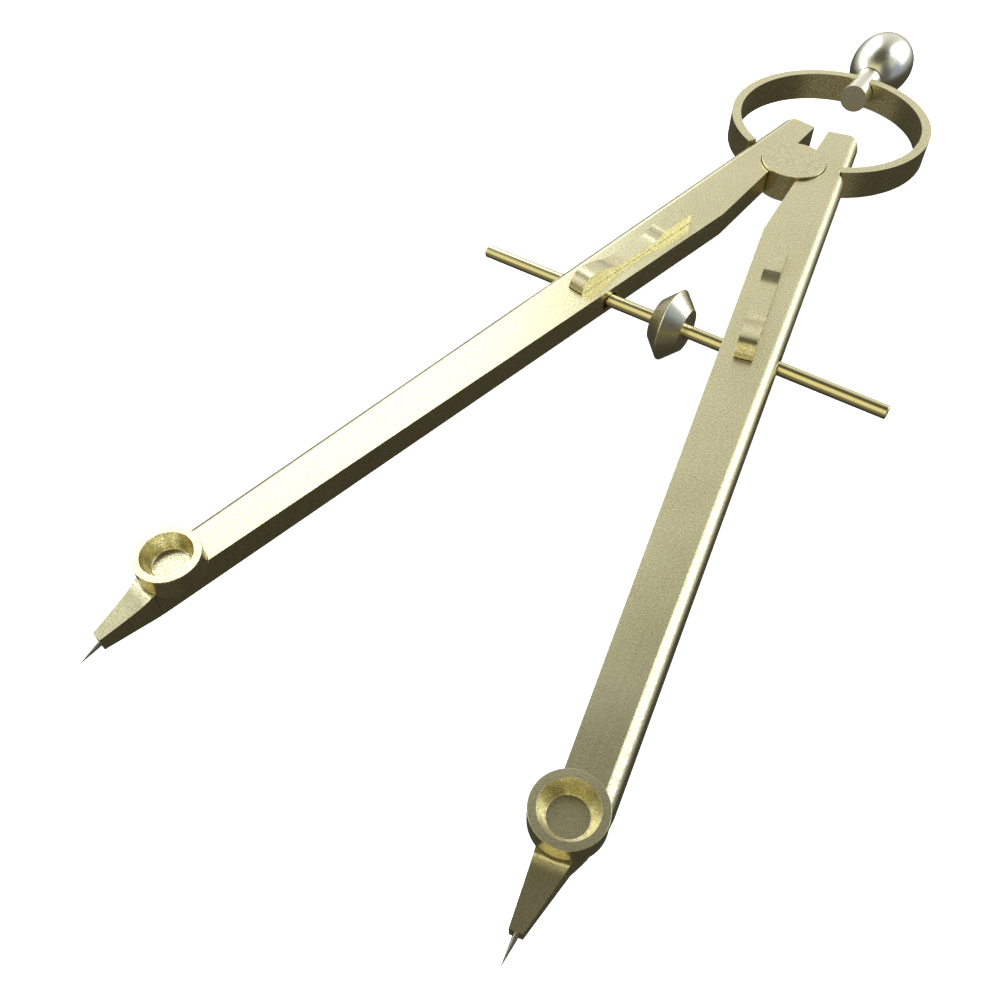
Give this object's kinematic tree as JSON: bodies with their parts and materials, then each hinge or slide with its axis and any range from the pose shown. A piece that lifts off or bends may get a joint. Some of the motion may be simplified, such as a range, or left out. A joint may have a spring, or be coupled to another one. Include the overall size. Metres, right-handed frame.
{
  "type": "spring bow divider caliper",
  "caption": "Spring bow divider lying flat: two hinged legs with needle points, spring ring and handle, cross spindle with centre wheel and quick-release levers.",
  "frame": {"origin": "centre of the fulcrum roller's back face, on the pivot axis", "axes": "+Y from the points towards the handle, +Z out of the front faces that carry the levers, +X towards the right leg"},
  "size_m": [0.0593, 0.1668, 0.0103],
  "materials": {
    "satin_alloy": "satin",
    "polished_alloy": "polished",
    "brass_rod": "polished",
    "tool_steel": "satin"
  },
  "bodies": {
    "head": {"knob": "polished_alloy", "stem": "polished_alloy", "clamp_head": "satin_alloy", "spring_band": "satin_alloy", "fulcrum_roller": "satin_alloy"},
    "left_leg": {"left_leg": "satin_alloy", "left_lever_pin": "tool_steel", "left_lever_spring": "tool_steel", "left_needle_holder": "satin_alloy", "left_needle": "tool_steel"},
    "left_lever": {"left_lever": "satin_alloy"},
    "left_swivel": {"left_swivel_nut": "brass_rod"},
    "left_clamp_screw": {"left_clamp_screw": "polished_alloy"},
    "right_leg": {"right_leg": "satin_alloy", "right_lever_pin": "tool_steel", "right_lever_spring": "tool_steel", "right_needle_holder": "satin_alloy", "right_needle": "tool_steel"},
    "right_lever": {"right_lever": "satin_alloy"},
    "right_swivel": {"right_swivel_nut": "brass_rod"},
    "right_clamp_screw": {"right_clamp_screw": "polished_alloy"},
    "spindle": {"spindle": "brass_rod"},
    "wheel": {"centre_wheel": "polished_alloy"}
  },
  "joints": [
    {"name": "wheel_spin", "type": "hinge", "parent": "spindle", "child": "wheel", "pos_m": [0.001, -0.04215, 0.00205], "axis": [1, 0, 0], "range_deg": [-3972.6, 3774]},
    {"name": "left_leg_hinge", "type": "hinge", "parent": "head", "child": "left_leg", "pos_m": [0, 0, 0.002], "axis": [0, 0, 1], "range_deg": [-5.7, 6]},
    {"name": "left_swivel_turn", "type": "hinge", "parent": "left_leg", "child": "left_swivel", "pos_m": [-0.01168, -0.04215, 0.00205], "axis": [0, 0, 1], "range_deg": [-6, 5.7]},
    {"name": "left_lever_press", "type": "hinge", "parent": "left_leg", "child": "left_lever", "pos_m": [-0.00971, -0.03309, 0.0031], "axis": [-0.9772, 0.2124, 0], "range_deg": [0, 4], "stiffness_Nm_per_rad": 0.02, "springref_deg": -2.86, "deforming": ["left_lever_spring"]},
    {"name": "left_clamp_screw_turn", "type": "hinge", "parent": "left_leg", "child": "left_clamp_screw", "pos_m": [-0.02455, -0.10774, 0.00395], "axis": [0, 0, 1], "range_deg": [-180, 180]},
    {"name": "right_leg_hinge", "type": "hinge", "parent": "head", "child": "right_leg", "pos_m": [0, 0, 0.002], "axis": [0, 0, 1], "range_deg": [-5.9, 5.6]},
    {"name": "right_swivel_turn", "type": "hinge", "parent": "right_leg", "child": "right_swivel", "pos_m": [0.01168, -0.04215, 0.00205], "axis": [0, 0, 1], "range_deg": [-5.7, 6]},
    {"name": "right_lever_press", "type": "hinge", "parent": "right_leg", "child": "right_lever", "pos_m": [0.00971, -0.03309, 0.0031], "axis": [-0.9772, -0.2124, 0], "range_deg": [0, 4], "stiffness_Nm_per_rad": 0.02, "springref_deg": -2.86, "deforming": ["right_lever_spring"]},
    {"name": "right_clamp_screw_turn", "type": "hinge", "parent": "right_leg", "child": "right_clamp_screw", "pos_m": [0.02455, -0.10774, 0.00395], "axis": [0, 0, 1], "range_deg": [-180, 180]},
    {"name": "spindle_slide", "type": "slide", "parent": "left_swivel", "child": "spindle", "axis": [1, 0, 0], "range_m": [-0.00441, 0.00419]}
  ],
  "couplings": [
    {"joint": "left_leg_hinge", "follows": "right_leg_hinge", "ratio": -1},
    {"joint": "left_swivel_turn", "follows": "right_leg_hinge", "ratio": 1},
    {"joint": "right_swivel_turn", "follows": "right_leg_hinge", "ratio": -1},
    {"joint": "spindle_slide", "follows": "right_leg_hinge", "m_per_rad": 0.042151},
    {"joint": "wheel_spin", "follows": "right_leg_hinge", "ratio": 662.1}
  ]
}
